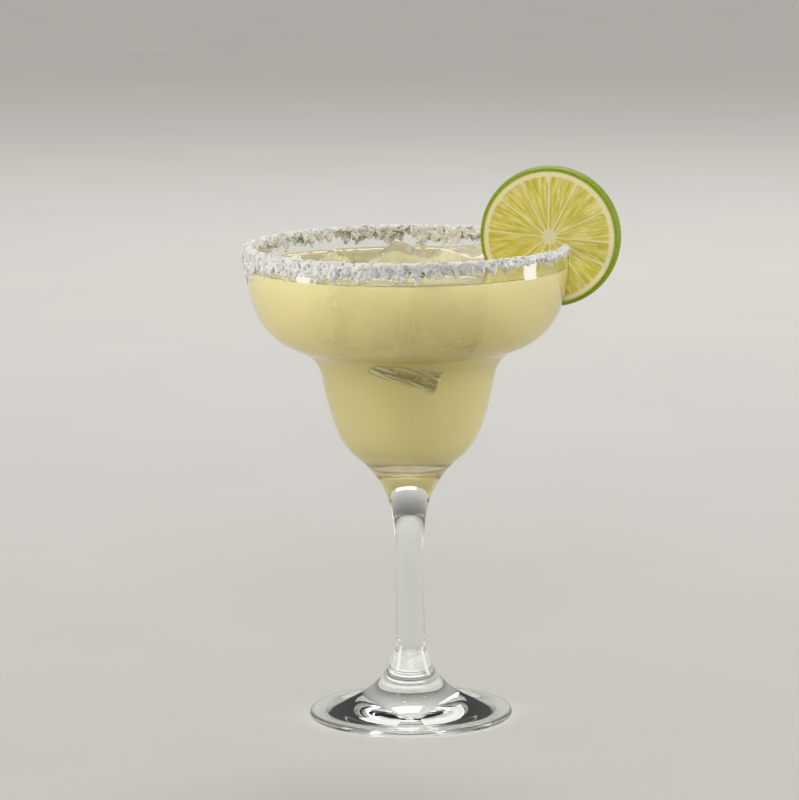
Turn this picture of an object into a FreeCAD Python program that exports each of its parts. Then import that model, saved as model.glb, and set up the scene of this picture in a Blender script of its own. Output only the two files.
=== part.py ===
"""Margarita in its stemmed glass: the glass, the drink, a lime wheel and floating ice.

Millimetres, +Z up.  The origin is the centre of the foot, on the surface that the glass stands on.
The glass is turned about Z.  Its profile is a chain of arcs, each of which runs on smoothly from the
one before, so the whole shape follows from each arc's radius and the height at which it ends.
"""
import math
import os

import FreeCAD
import Part
import Sketcher

# Driving dimensions.  Each one becomes a named cell of the sheet.
SIZES = {
    # glass, outside, from the rim down: straight wall, then arcs, each with the height where it ends
    "glass_height": 173.3,
    "rim_radius": 58.0,
    "rim_wall": 1.6,
    "wall_bottom": 165.2,
    "belly_radius": 41.5,
    "belly_bottom": 150.4,
    "bowl_radius": 24.0,
    "bowl_bottom": 136.2,
    "shoulder_radius": 13.7,
    "shoulder_bottom": 125.5,
    "cup_radius": 105.0,
    "cup_bottom": 106.3,
    "cup_base_radius": 25.0,
    "cup_base_bottom": 95.5,
    "neck_radius": 33.4,
    "neck_bottom": 74.0,
    "stem_radius": 4.9,
    "flare_radius": 944.0,
    "flare_bottom": 28.8,
    "ankle_radius": 23.8,
    "ankle_bottom": 13.3,
    "foot_radius": 37.1,
    "foot_edge_radius": 1.25,
    "foot_ring_inner_radius": 31.0,
    "foot_hollow_height": 1.8,
    # glass, inside, from the rim down: the lowest arc closes the bowl on the axis
    "inner_belly_radius": 39.9,
    "inner_belly_bottom": 151.0,
    "inner_bowl_radius": 22.2,
    "inner_bowl_bottom": 137.9,
    "inner_shoulder_radius": 15.8,
    "inner_shoulder_bottom": 125.8,
    "inner_cup_radius": 103.0,
    "inner_cup_bottom": 107.1,
    "inner_corner_radius": 17.0,
    "inner_corner_bottom": 96.5,
    # drink
    "drink_level": 164.8,
    # lime wheel, a slice from beside the fruit's middle, so its far face is the wider one
    "lime_front_radius": 24.6,
    "lime_back_radius": 25.4,
    "lime_thickness": 6.0,
    "lime_rind_bulge": 0.5,
    "lime_x": 51.6,
    "lime_y": 2.0,
    "lime_z": 175.7,
    "lime_turn": -11.0,
    # ice
    "ice_fillet": 3.5,
    "ice_taper": 2.0,
}

# Floating cubes: length, width, height, then centre x, y, z, then yaw, pitch and roll in degrees.
ICE_KEYS = ("length", "width", "height", "x", "y", "z", "yaw", "pitch", "roll")
ICE_CUBES = {
    "ice_cube_middle": (25.0, 24.0, 24.0, -2.3, 10.8, 156.4, 27.4, 31.5, -42.4),
    "ice_cube_left": (22.5, 22.5, 22.0, -28.0, 20.6, 153.4, 12.8, 41.3, 38.6),
    "ice_cube_right": (26.0, 24.0, 24.0, 24.7, 26.2, 156.5, 39.2, 0.0, 5.7),
    "ice_cube_front_left": (27.0, 24.0, 23.0, -16.6, -29.4, 156.2, -77.5, 5.9, 0.0),
    "ice_cube_front_right": (26.0, 24.0, 24.0, 11.3, -32.6, 154.8, 13.0, 6.1, -7.3),
}

OUTSIDE_ARCS = ("belly", "bowl", "shoulder", "cup", "cup_base", "neck")
INSIDE_ARCS = ("inner_belly", "inner_bowl", "inner_shoulder", "inner_cup", "inner_corner")
HOLLOW_ARCS = ("shoulder", "neck", "flare", "ankle", "inner_shoulder")  # these curve away from the axis

START, END, CENTRE = 1, 2, 3  # the sketcher's names for an arc's points
H_AXIS, V_AXIS = -1, -2
STRAIGHT_DOWN = -math.pi / 2
UP = FreeCAD.Vector(0, 0, 1)  # across every profile sketch


def make_sheet(doc):
    """Write every driving dimension into a sheet cell of its own name."""
    sheet = doc.addObject("Spreadsheet::Sheet", "Sizes")
    cells = dict(SIZES)
    for cube, values in ICE_CUBES.items():
        cells.update({f"{cube}_{key}": value for key, value in zip(ICE_KEYS, values)})
    for row, (alias, value) in enumerate(cells.items(), start=1):
        sheet.set(f"A{row}", alias)
        sheet.set(f"B{row}", str(value))
        sheet.setAlias(f"B{row}", alias)
    doc.recompute()
    return sheet


def origin_feature(body, role):
    """Return the body's own origin plane or axis of that role."""
    return next(item for item in body.Origin.OriginFeatures if item.Role == role)


def new_body(doc, name):
    body = doc.addObject("PartDesign::Body", name)
    body.Label = name
    return body


def new_sketch(body, name, plane):
    """Add a sketch on one of the body's origin planes."""
    sketch = body.newObject("Sketcher::SketchObject", name)
    sketch.AttachmentSupport = [(origin_feature(body, plane), "")]
    sketch.MapMode = "FlatFace"
    return sketch


class ProfilePen:
    """Draws a chain of lines and arcs downwards, each one tangent to the last.

    The pen remembers its place (radius, height), its heading and the point it stopped at, so that
    the next piece starts there.  Every size it uses is bound to the sheet.
    """

    def __init__(self, sketch):
        self.sketch = sketch
        self.radius = 0.0
        self.height = 0.0
        self.heading = STRAIGHT_DOWN
        self.tip = None

    def add(self, shape):
        return self.sketch.addGeometry(shape, False)

    def bind(self, kind, geometry, expression, label):
        """Constrain one size and bind it to an expression on the sheet."""
        value = self.sketch.evalExpression(expression)
        index = self.sketch.addConstraint(Sketcher.Constraint(kind, *geometry, float(value)))
        self.sketch.renameConstraint(index, label)
        self.sketch.setExpression(f"Constraints.{label}", expression)

    def rule(self, kind, *geometry):
        """Add a constraint that has no size."""
        self.sketch.addConstraint(Sketcher.Constraint(kind, *geometry))

    def line_down(self, radius, top, bottom):
        """Draw a vertical wall and leave the pen at its foot."""
        line = self.add(Part.LineSegment(point(radius, top), point(radius, bottom)))
        self.rule("Vertical", line)
        self.radius, self.height, self.heading = radius, bottom, STRAIGHT_DOWN
        self.tip = (line, END)
        return line

    def arc(self, radius, end_heading, hollow):
        """Draw an arc on to a new heading, tangent to the last piece, and return its index."""
        side = -1 if hollow else 1
        centre_r = self.radius + side * radius * math.sin(self.heading)
        centre_z = self.height - side * radius * math.cos(self.heading)
        from_angle = self.heading + side * math.pi / 2
        to_angle = end_heading + side * math.pi / 2
        circle = Part.Circle(point(centre_r, centre_z), UP, radius)
        low, high = sorted((from_angle, to_angle))
        arc = self.add(Part.ArcOfCircle(circle, low, high))
        entry, leave = (START, END) if hollow else (END, START)
        self.rule("Tangent", arc, entry, *self.tip)
        self.radius = centre_r + radius * math.cos(to_angle)
        self.height = centre_z + radius * math.sin(to_angle)
        self.heading = end_heading
        self.tip = (arc, leave)
        return arc

    def arc_down_to(self, name, size):
        """Draw the named arc down to the height where it ends, both bound to the sheet."""
        hollow = name in HOLLOW_ARCS
        radius, bottom = size(f"{name}_radius"), size(f"{name}_bottom")
        drop = (self.height - bottom) / radius
        cosine = math.cos(self.heading) + (drop if hollow else -drop)
        arc = self.arc(radius, -math.acos(cosine), hollow)
        self.bind("Radius", (arc,), f"Sizes.{name}_radius", f"{name}_radius")
        self.bind("DistanceY", (arc, self.tip[1]), f"Sizes.{name}_bottom", f"{name}_bottom")


def point(radius, height):
    """A point of a profile sketch, whose X is the radius and whose Y is the height."""
    return FreeCAD.Vector(radius, height, 0)


def draw_inside(pen, size, top):
    """Draw the inside of the bowl from the given height down to the axis; return wall and floor."""
    wall = pen.line_down(size("rim_radius") - size("rim_wall"), top, size("wall_bottom"))
    pen.bind("DistanceX", (wall, END), "Sizes.rim_radius - Sizes.rim_wall", "inner_rim_radius")
    pen.bind("DistanceY", (wall, END), "Sizes.wall_bottom", "inner_wall_bottom")
    for name in INSIDE_ARCS:
        pen.arc_down_to(name, size)
    floor_radius = pen.radius / math.sin(math.pi + pen.heading)
    floor = pen.arc(floor_radius, -math.pi, hollow=False)
    pen.rule("PointOnObject", floor, CENTRE, V_AXIS)
    pen.rule("PointOnObject", floor, START, V_AXIS)
    return wall, floor


def draw_foot(pen, size):
    """Draw the foot's top, its rounded edge and its underside; return the underside's arc."""
    edge_radius = size("foot_edge_radius")
    edge_centre = size("foot_radius") - edge_radius
    # the instep is the one arc that runs from the ankle into the rounded edge without a kink
    left_r, left_z = -math.sin(pen.heading), math.cos(pen.heading)
    across, above = pen.radius - edge_centre, pen.height - edge_radius
    square_gap = across ** 2 + above ** 2 - edge_radius ** 2
    instep_radius = square_gap / (2 * (edge_radius - across * left_r - above * left_z))
    centre_r = pen.radius + instep_radius * left_r
    centre_z = pen.height + instep_radius * left_z
    meeting_heading = math.atan2(edge_centre - centre_r, centre_z - edge_radius)
    pen.arc(instep_radius, meeting_heading, hollow=True)
    edge = pen.arc(edge_radius, -math.pi, hollow=False)
    pen.bind("Radius", (edge,), "Sizes.foot_edge_radius", "foot_edge_radius")
    centre_rule = "Sizes.foot_radius - Sizes.foot_edge_radius"
    pen.bind("DistanceX", (edge, CENTRE), centre_rule, "foot_edge_centre")

    ring_inner = size("foot_ring_inner_radius")
    ring = pen.add(Part.LineSegment(point(edge_centre, 0), point(ring_inner, 0)))
    pen.rule("Tangent", ring, START, *pen.tip)
    pen.rule("PointOnObject", ring, START, H_AXIS)
    pen.rule("Horizontal", ring)
    pen.bind("DistanceX", (ring, END), "Sizes.foot_ring_inner_radius", "ring_inner_radius")

    hollow = size("foot_hollow_height")
    dome_radius = (ring_inner ** 2 + hollow ** 2) / (2 * hollow)
    dome_circle = Part.Circle(point(0, hollow - dome_radius), UP, dome_radius)
    dome_angle = math.atan2(dome_radius - hollow, ring_inner)
    dome = pen.add(Part.ArcOfCircle(dome_circle, dome_angle, math.pi / 2))
    pen.rule("Coincident", dome, START, ring, END)
    pen.rule("PointOnObject", dome, CENTRE, V_AXIS)
    pen.rule("PointOnObject", dome, END, V_AXIS)
    pen.bind("DistanceY", (dome, END), "Sizes.foot_hollow_height", "foot_hollow_height")
    return dome


def draw_stem(pen, size):
    """Draw the stem: in to its thinnest place, out again slowly, then round the ankle."""
    stem = size("stem_radius")
    turn = STRAIGHT_DOWN - pen.heading
    waist_radius = (pen.radius - stem) / (1 - math.cos(turn))
    waist = pen.arc(waist_radius, STRAIGHT_DOWN, hollow=True)
    pen.bind("DistanceX", (waist, END), "Sizes.stem_radius", "stem_radius")
    pen.rule("Horizontal", waist, CENTRE, waist, END)
    for name in ("flare", "ankle"):
        pen.arc_down_to(name, size)


def revolve(body, sketch, name):
    """Turn a profile a full circle about the sketch's vertical axis."""
    turned = body.newObject("PartDesign::Revolution", name)
    turned.Profile = sketch
    turned.ReferenceAxis = (sketch, ["V_Axis"])
    turned.Angle = 360.0
    return turned


def make_glass(doc, size):
    """The glass is one piece: a two-tiered bowl, a solid stem and a foot."""
    body = new_body(doc, "glass")
    sketch = new_sketch(body, "glass_profile", "XZ_Plane")
    pen = ProfilePen(sketch)
    half_wall = size("rim_wall") / 2
    lip_height = size("glass_height") - half_wall
    wall = pen.line_down(size("rim_radius"), lip_height, size("wall_bottom"))
    pen.bind("DistanceX", (wall, END), "Sizes.rim_radius", "rim_radius")
    pen.bind("DistanceY", (wall, END), "Sizes.wall_bottom", "wall_bottom")
    pen.bind("DistanceY", (wall, START), "Sizes.glass_height - Sizes.rim_wall / 2", "lip_height")
    for name in OUTSIDE_ARCS:
        pen.arc_down_to(name, size)
    draw_stem(pen, size)
    dome = draw_foot(pen, size)

    inner_wall, floor = draw_inside(pen, size, lip_height)
    lip_centre = point(size("rim_radius") - half_wall, lip_height)
    lip_circle = Part.Circle(lip_centre, UP, half_wall)
    lip = pen.add(Part.ArcOfCircle(lip_circle, 0, math.pi))
    pen.rule("Tangent", lip, START, wall, START)
    pen.rule("Tangent", lip, END, inner_wall, START)
    core = pen.add(Part.LineSegment(point(0, size("foot_hollow_height")), point(0, pen.height)))
    pen.rule("Coincident", core, START, dome, END)
    pen.rule("Coincident", core, END, floor, START)
    revolve(body, sketch, "glass_turned")
    return body


def make_drink_fill(doc, size):
    """All the space in the bowl up to the drink's level, before the ice and lime take their place."""
    body = new_body(doc, "bowl_space")
    sketch = new_sketch(body, "bowl_space_profile", "XZ_Plane")
    pen = ProfilePen(sketch)
    top = size("glass_height")
    inner_wall, floor = draw_inside(pen, size, top)
    pen.bind("DistanceY", (inner_wall, START), "Sizes.glass_height", "space_top")
    lid = pen.add(Part.LineSegment(point(0, top), point(size("rim_radius") - size("rim_wall"), top)))
    core = pen.add(Part.LineSegment(point(0, top), point(0, pen.height)))
    pen.rule("Horizontal", lid)
    pen.rule("Coincident", lid, END, inner_wall, START)
    pen.rule("PointOnObject", lid, START, V_AXIS)
    pen.rule("Coincident", core, START, lid, START)
    pen.rule("Coincident", core, END, floor, START)
    revolve(body, sketch, "bowl_space_turned")

    column = doc.addObject("Part::Cylinder", "below_drink_level")
    column.setExpression("Radius", "Sizes.rim_radius")
    column.setExpression("Height", "Sizes.drink_level")
    fill = doc.addObject("Part::Common", "drink_fill")
    fill.Base = body
    fill.Tool = column
    return fill


def make_lime_disc(doc, size):
    """A whole slice of lime, turned about its own axis, then stood on edge over the rim."""
    body = new_body(doc, "lime_disc")
    sketch = new_sketch(body, "lime_profile", "XZ_Plane")
    pen = ProfilePen(sketch)
    front, back, thickness = size("lime_front_radius"), size("lime_back_radius"), size("lime_thickness")
    corners = [point(0, 0), point(back, 0), point(front, thickness), point(0, thickness)]
    bulge = size("lime_rind_bulge")
    middle = (corners[1] + corners[2]) / 2 + FreeCAD.Vector(bulge, 0, 0)
    back_face = pen.add(Part.LineSegment(corners[0], corners[1]))
    rind = pen.add(Part.Arc(corners[1], middle, corners[2]))
    front_face = pen.add(Part.LineSegment(corners[2], corners[3]))
    axis = pen.add(Part.LineSegment(corners[3], corners[0]))
    pen.rule("Coincident", back_face, START, H_AXIS, START)
    pen.rule("Horizontal", back_face)
    pen.rule("Horizontal", front_face)
    pen.rule("Vertical", axis)
    pen.rule("Coincident", rind, START, back_face, END)
    pen.rule("Coincident", rind, END, front_face, START)
    pen.rule("Coincident", axis, START, front_face, END)
    pen.rule("Coincident", axis, END, back_face, START)
    pen.bind("DistanceX", (back_face, END), "Sizes.lime_back_radius", "back_radius")
    pen.bind("DistanceX", (front_face, START), "Sizes.lime_front_radius", "front_radius")
    pen.bind("DistanceY", (front_face, START), "Sizes.lime_thickness", "thickness")
    chord = math.hypot(back - front, thickness)
    rind_radius = (chord ** 2 / 4 + bulge ** 2) / (2 * bulge)
    rind_rule = "((({b} - {f})^2 + {t}^2) / 4 + {g}^2) / (2 * {g})".format(
        b="Sizes.lime_back_radius",
        f="Sizes.lime_front_radius",
        t="Sizes.lime_thickness",
        g="Sizes.lime_rind_bulge",
    )
    sketch.addConstraint(Sketcher.Constraint("Radius", rind, rind_radius))
    sketch.renameConstraint(sketch.ConstraintCount - 1, "rind_radius")
    sketch.setExpression("Constraints.rind_radius", rind_rule)
    revolve(body, sketch, "lime_turned")
    stand_lime_on_rim(body)
    return body


def stand_lime_on_rim(body):
    """Point the slice's axis at the front, turn it about Z and centre its thickness on the place."""
    body.setExpression("Placement.Rotation.Yaw", "Sizes.lime_turn")
    body.setExpression("Placement.Rotation.Roll", "90")
    half = "Sizes.lime_thickness / 2"
    body.setExpression("Placement.Base.x", f"Sizes.lime_x - {half} * sin(Sizes.lime_turn * 1 deg)")
    body.setExpression("Placement.Base.y", f"Sizes.lime_y + {half} * cos(Sizes.lime_turn * 1 deg)")
    body.setExpression("Placement.Base.z", "Sizes.lime_z")


def make_ice_cube(doc, name):
    """A moulded cube: slightly tapered, with edges that have melted round."""
    body = new_body(doc, name)
    sketch = new_sketch(body, f"{name}_outline", "XY_Plane")
    pen = ProfilePen(sketch)
    length, width = (sketch.evalExpression(f"Sizes.{name}_{key}") for key in ("length", "width"))
    signs = ((-1, -1), (1, -1), (1, 1), (-1, 1))
    corners = [point(sx * length / 2, sy * width / 2) for sx, sy in signs]
    sides = [pen.add(Part.LineSegment(corners[i], corners[(i + 1) % 4])) for i in range(4)]
    for i, side in enumerate(sides):
        pen.rule("Coincident", side, END, sides[(i + 1) % 4], START)
        pen.rule("Horizontal" if i % 2 == 0 else "Vertical", side)
    pen.rule("Symmetric", sides[0], START, sides[2], START, H_AXIS, START)
    pen.bind("DistanceX", (sides[0], START, sides[0], END), f"Sizes.{name}_length", "length")
    pen.bind("DistanceY", (sides[1], START, sides[1], END), f"Sizes.{name}_width", "width")

    block = body.newObject("PartDesign::Pad", f"{name}_block")
    block.Profile = sketch
    block.Midplane = True
    block.setExpression("Length", f"Sizes.{name}_height")
    block.setExpression("TaperAngle", "-Sizes.ice_taper")
    block.setExpression("TaperAngle2", "Sizes.ice_taper")
    doc.recompute()
    melted = body.newObject("PartDesign::Fillet", f"{name}_melted_edges")
    melted.Base = (block, [f"Edge{i + 1}" for i in range(len(block.Shape.Edges))])
    melted.setExpression("Radius", "Sizes.ice_fillet")
    for target, key in (("Base.x", "x"), ("Base.y", "y"), ("Base.z", "z")):
        body.setExpression(f"Placement.{target}", f"Sizes.{name}_{key}")
    for target, key in (("Yaw", "yaw"), ("Pitch", "pitch"), ("Roll", "roll")):
        body.setExpression(f"Placement.Rotation.{target}", f"Sizes.{name}_{key}")
    return body


def cut_away(doc, name, base, tool):
    """Cut one piece out of another, and give the result its own label."""
    cut = doc.addObject("Part::Cut", name)
    cut.Base = base
    cut.Tool = tool
    cut.Label = name
    return cut


def check_document(doc, parts):
    """Stop if any object failed or any piece isn't one valid solid."""
    for item in doc.Objects:
        if {"Invalid", "Error"} & set(item.State):
            raise RuntimeError(f"{item.Name} did not compute: {item.State}")
    for sketch in doc.findObjects("Sketcher::SketchObject"):
        if not sketch.FullyConstrained:
            raise RuntimeError(f"{sketch.Name} is not fully constrained")
    for part in parts:
        shape = part.Shape
        if shape.isNull() or not shape.isValid() or len(shape.Solids) != 1:
            raise RuntimeError(f"{part.Label} is not one valid solid")


def main():
    doc = FreeCAD.newDocument("Margarita")
    sheet = make_sheet(doc)

    def size(alias):
        return float(getattr(sheet, alias))

    glass = make_glass(doc, size)
    fill = make_drink_fill(doc, size)
    disc = make_lime_disc(doc, size)
    cubes = [make_ice_cube(doc, name) for name in ICE_CUBES]

    garnish = doc.addObject("Part::MultiFuse", "lime_and_ice")
    garnish.Shapes = [disc] + cubes
    drink = cut_away(doc, "drink", fill, garnish)
    lime = cut_away(doc, "lime_wheel", disc, glass)
    doc.recompute()

    parts = [glass, drink, lime] + cubes
    check_document(doc, parts)
    os.makedirs("parts", exist_ok=True)
    for part in parts:
        part.Shape.exportStep(f"parts/{part.Label}.step")
        box = part.Shape.optimalBoundingBox()
        print(f"{part.Label}: {part.Shape.Volume / 1000:.1f} cm3, z {box.ZMin:.1f} to {box.ZMax:.1f}")


main()
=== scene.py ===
# %% [markdown]
# # A margarita in its stemmed glass
# The real thing is a blown glass with a two-tiered bowl, a pale cloudy drink, a few melting ice cubes,
# coarse salt stuck round the rim and a slice of lime pushed over it.  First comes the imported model,
# which fixes where every piece goes and how large it is.

# %% Load the frame
import math

import bmesh
import bpy
import numpy as np
from mathutils import Matrix, Vector, noise


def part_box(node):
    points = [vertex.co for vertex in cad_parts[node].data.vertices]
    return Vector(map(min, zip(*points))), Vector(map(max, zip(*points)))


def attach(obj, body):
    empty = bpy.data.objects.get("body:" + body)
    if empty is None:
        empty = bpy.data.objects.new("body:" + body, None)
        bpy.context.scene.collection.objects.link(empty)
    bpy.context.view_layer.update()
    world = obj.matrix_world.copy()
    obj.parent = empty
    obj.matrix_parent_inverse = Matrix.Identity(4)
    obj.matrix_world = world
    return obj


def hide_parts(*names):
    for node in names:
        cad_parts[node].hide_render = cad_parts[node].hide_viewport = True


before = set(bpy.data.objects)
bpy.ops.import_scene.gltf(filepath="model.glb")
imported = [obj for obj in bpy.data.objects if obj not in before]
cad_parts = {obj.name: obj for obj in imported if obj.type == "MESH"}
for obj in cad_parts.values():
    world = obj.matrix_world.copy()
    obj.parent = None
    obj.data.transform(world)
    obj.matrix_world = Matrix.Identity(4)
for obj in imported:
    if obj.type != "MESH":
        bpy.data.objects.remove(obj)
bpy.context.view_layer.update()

MM = 0.001
GLASS_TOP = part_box("glass")[1]
RIM_RADIUS = GLASS_TOP.x / MM
RIM_HEIGHT = GLASS_TOP.z / MM
DRINK_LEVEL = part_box("drink")[1].z / MM
print(f"rim radius {RIM_RADIUS:.1f} mm, height {RIM_HEIGHT:.1f} mm, drink level {DRINK_LEVEL:.1f} mm")

# %% [markdown]
# ## Small helpers
# Colours are easiest to choose as the hex codes of a paint program, but a shader works in linear
# light, so one function converts them.  Another adds any node with its settings and links: a value
# goes on the socket, and another node's output is linked to it.

# %% Colour and node helpers
MERGE_DISTANCE = 1e-6
OF_COLOURS = {"data_type": "RGBA"}


def linear(hex_colour):
    """Turn an sRGB hex colour into the linear colour that a shader expects."""
    channels = [int(hex_colour[i:i + 2], 16) / 255 for i in (1, 3, 5)]
    light = [c / 12.92 if c <= 0.04045 else ((c + 0.055) / 1.055) ** 2.4 for c in channels]
    return (*light, 1.0)


def add(tree, kind, settings=None, inputs=None):
    """Add a node, set its properties, and fill or link its inputs."""
    node = tree.nodes.new(kind)
    for name, value in (settings or {}).items():
        setattr(node, name, value)
    for key, value in (inputs or {}).items():
        if isinstance(value, bpy.types.NodeSocket):
            tree.links.new(value, node.inputs[key])
        else:
            node.inputs[key].default_value = value
    return node


def new_material(name):
    """Start a material with an empty node tree."""
    material = bpy.data.materials.new(name)
    material.use_nodes = True
    material.node_tree.nodes.clear()
    return material, material.node_tree


def finish_material(tree, shader, volume=None):
    """End a material with its surface and, if it has one, its inside."""
    inputs = {"Surface": shader}
    if volume is not None:
        inputs["Volume"] = volume
    add(tree, "ShaderNodeOutputMaterial", inputs=inputs)


def link_object(name, data):
    """Put a mesh, lamp or camera in the scene as an object at the origin."""
    piece = bpy.data.objects.new(name, data)
    bpy.context.scene.collection.objects.link(piece)
    return piece


def merge_doubles(mesh, turn_outwards=False):
    """Merge points that lie together, and if asked turn every face of a closed mesh outwards."""
    shape = bmesh.new()
    shape.from_mesh(mesh)
    bmesh.ops.remove_doubles(shape, verts=shape.verts, dist=MERGE_DISTANCE)
    if turn_outwards:
        bmesh.ops.recalc_face_normals(shape, faces=shape.faces)
    shape.to_mesh(mesh)
    shape.free()


def recalculate(mesh):
    """Close a mesh, turn its faces outwards and shade it smooth."""
    merge_doubles(mesh, turn_outwards=True)
    mesh.polygons.foreach_set("use_smooth", [True] * len(mesh.polygons))
    mesh.update()


def apply_modifiers(piece):
    """Keep what a piece's modifiers make as its own plain mesh, and remove them."""
    evaluated = piece.evaluated_get(bpy.context.evaluated_depsgraph_get())
    piece.data = bpy.data.meshes.new_from_object(evaluated)
    piece.modifiers.clear()


def triangles(mesh):
    mesh.calc_loop_triangles()
    return len(mesh.loop_triangles)


def read_points(mesh):
    """Return a mesh's vertices as an array, in millimetres."""
    points = np.empty(len(mesh.vertices) * 3)
    mesh.vertices.foreach_get("co", points)
    return points.reshape(-1, 3) / MM


def write_points(mesh, points):
    mesh.vertices.foreach_set("co", (points * MM).ravel())
    mesh.update()


def store(mesh, name, values, kind="FLOAT"):
    """Keep one number or vector per vertex as a named attribute."""
    layer = mesh.attributes.new(name, kind, "POINT")
    layer.data.foreach_set("value" if kind == "FLOAT" else "vector", np.asarray(values, float).ravel())


print(f"the grey #808080 gives off {linear('#808080')[0]:.2f} of the light of white")

# %% [markdown]
# ## Camera, floor and light
# A long lens from a metre and a half away, a little above the rim, shows a glass the way a product
# picture does: the rim is a thin ellipse and the stem stays straight.  Glass has no colour of its own,
# so it is drawn by what it reflects.  Two tall soft boxes at the sides put bright marks on its wall and
# a dim surround gives it darker edges.  A wide box in front lights the face of the drink, and one behind
# makes it glow.  The side boxes would leave hard-edged patches on the floor, so they don't light it.

# %% Camera
# metres and degrees
CAMERA_DISTANCE = 1.4912
CAMERA_HEIGHT = 0.3570
CAMERA_PITCH = 9.154
CAMERA_ROLL = 0.479
CAMERA_ASIDE = -0.00325
LENS = 187.53
SENSOR_WIDTH = 36.0

camera_data = bpy.data.cameras.new("camera")
camera_data.lens = LENS
camera_data.sensor_width = SENSOR_WIDTH
camera_data.clip_end = 50.0
camera = link_object("camera", camera_data)
tilt = Matrix.Rotation(math.radians(90 - CAMERA_PITCH), 4, "X")
roll = Matrix.Rotation(math.radians(-CAMERA_ROLL), 4, "Z")
place = Matrix.Translation((CAMERA_ASIDE, -CAMERA_DISTANCE, CAMERA_HEIGHT))
camera.matrix_world = place @ tilt @ roll
bpy.context.scene.camera = camera
view_angle = 2 * math.atan(SENSOR_WIDTH / (2 * LENS))
print(f"camera {CAMERA_DISTANCE:.2f} m away, with a view {math.degrees(view_angle):.1f} degrees wide")

# %% Soft boxes and surround
def soft_box(name, location, target, size, watts):
    """A rectangular lamp that points at a place, and isn't seen itself."""
    lamp = bpy.data.lights.new(name, "AREA")
    lamp.shape = "RECTANGLE"
    lamp.size, lamp.size_y = size
    lamp.energy = watts
    holder = link_object(name, lamp)
    holder.location = location
    aim = Vector(target) - Vector(location)
    holder.rotation_euler = aim.to_track_quat("-Z", "Y").to_euler()
    holder.visible_camera = False
    return holder


BOWL = (0.0, 0.0, 0.14)
TALL_BOX = (0.20, 0.62)
left_box = soft_box("soft_box_left", (-0.95, -0.20, 0.33), BOWL, TALL_BOX, watts=4.7)
right_box = soft_box("soft_box_right", (0.95, 0.10, 0.33), BOWL, TALL_BOX, watts=4.3)
soft_box("soft_box_front", (0.0, -2.0, 1.3), BOWL, size=(1.2, 0.7), watts=9.0)
soft_box("soft_box_back", (0.2, 1.60, 1.50), BOWL, size=(1.2, 0.6), watts=14.0)


def make_surround():
    """A tent that is bright overhead and dim at the level of the table."""
    world = bpy.data.worlds.new("studio_tent")
    world.use_nodes = True
    tree = world.node_tree
    direction = add(tree, "ShaderNodeTexCoord").outputs["Generated"]
    height = add(tree, "ShaderNodeSeparateXYZ", inputs={"Vector": direction})
    brightness = add(tree, "ShaderNodeMapRange",
                     inputs={"Value": height.outputs["Z"], "From Min": 0.0, "From Max": 0.6,
                             "To Min": 0.16, "To Max": 0.80})
    light = tree.nodes["Background"]
    light.inputs["Color"].default_value = linear("#fbfaf7")
    tree.links.new(brightness.outputs["Result"], light.inputs["Strength"])
    bpy.context.scene.world = world


make_surround()
bpy.context.scene.view_settings.view_transform = "Khronos PBR Neutral"
print(f"{len(bpy.data.lights)} soft boxes in a dim tent")

# %% Floor
FLOOR_RADIUS = 9.0


def make_floor():
    """A wide pale table top: painted board, with a very faint mottle."""
    material, tree = new_material("painted_board")
    place = add(tree, "ShaderNodeTexCoord").outputs["Object"]
    mottle = add(tree, "ShaderNodeTexNoise", inputs={"Vector": place, "Scale": 9.0, "Detail": 3.0})
    tone = add(tree, "ShaderNodeMix", OF_COLOURS,
               {"Factor": mottle.outputs["Fac"], "A": linear("#d0ceca"), "B": linear("#d6d4d0")})
    paint = add(tree, "ShaderNodeBsdfPrincipled",
                inputs={"Base Color": tone.outputs["Result"], "Roughness": 0.9, "Specular IOR Level": 0.15})
    finish_material(tree, paint.outputs["BSDF"])
    mesh = bpy.data.meshes.new("floor")
    shape = bmesh.new()
    bmesh.ops.create_circle(shape, cap_ends=True, segments=96, radius=FLOOR_RADIUS)
    shape.to_mesh(mesh)
    shape.free()
    mesh.materials.append(material)
    floor = link_object("floor", mesh)
    return floor


def keep_off(lamp, piece):
    """Stop one lamp from lighting one piece."""
    unlit = bpy.data.collections.new(lamp.name + "_unlit")
    unlit.objects.link(piece)
    unlit.collection_objects[0].light_linking.link_state = "EXCLUDE"
    lamp.light_linking.receiver_collection = unlit


floor = make_floor()
keep_off(left_box, floor)
keep_off(right_box, floor)
print(f"floor {2 * FLOOR_RADIUS:.0f} m across, lit by the front and back boxes and the tent")

# %% [markdown]
# ## The lathe
# The glass and the drink are round about an axis, and so is the tool that cuts the slit in the lime.
# A Geometry Nodes tree can play the lathe: it takes a profile, a row of points whose X is the radius
# and whose Z is the height, and lays a grid over it.  One side of the grid counts the profile's points
# and the other counts the steps round the axis, so every grid point knows its radius, height and angle.
# A Spin would do the same, but this way the number of steps is an input that can be changed at any time.

# %% Lathe tree
TURN_STEPS = 224


def new_tree(name, inputs):
    """Start a Geometry Nodes tree with named inputs and a shape to give back."""
    tree = bpy.data.node_groups.new(name, "GeometryNodeTree")
    for socket, kind in inputs.items():
        tree.interface.new_socket(socket, in_out="INPUT", socket_type="NodeSocket" + kind)
    tree.interface.new_socket("Shape", in_out="OUTPUT", socket_type="NodeSocketGeometry")
    return tree, add(tree, "NodeGroupInput").outputs


def finish_tree(tree, shape, finish):
    """End a tree: make its instances real and give everything one material."""
    real = add(tree, "GeometryNodeRealizeInstances", inputs={"Geometry": shape})
    finished = add(tree, "GeometryNodeSetMaterial",
                   inputs={"Geometry": real.outputs["Geometry"], "Material": finish})
    add(tree, "NodeGroupOutput", inputs={"Shape": finished.outputs["Geometry"]})


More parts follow.
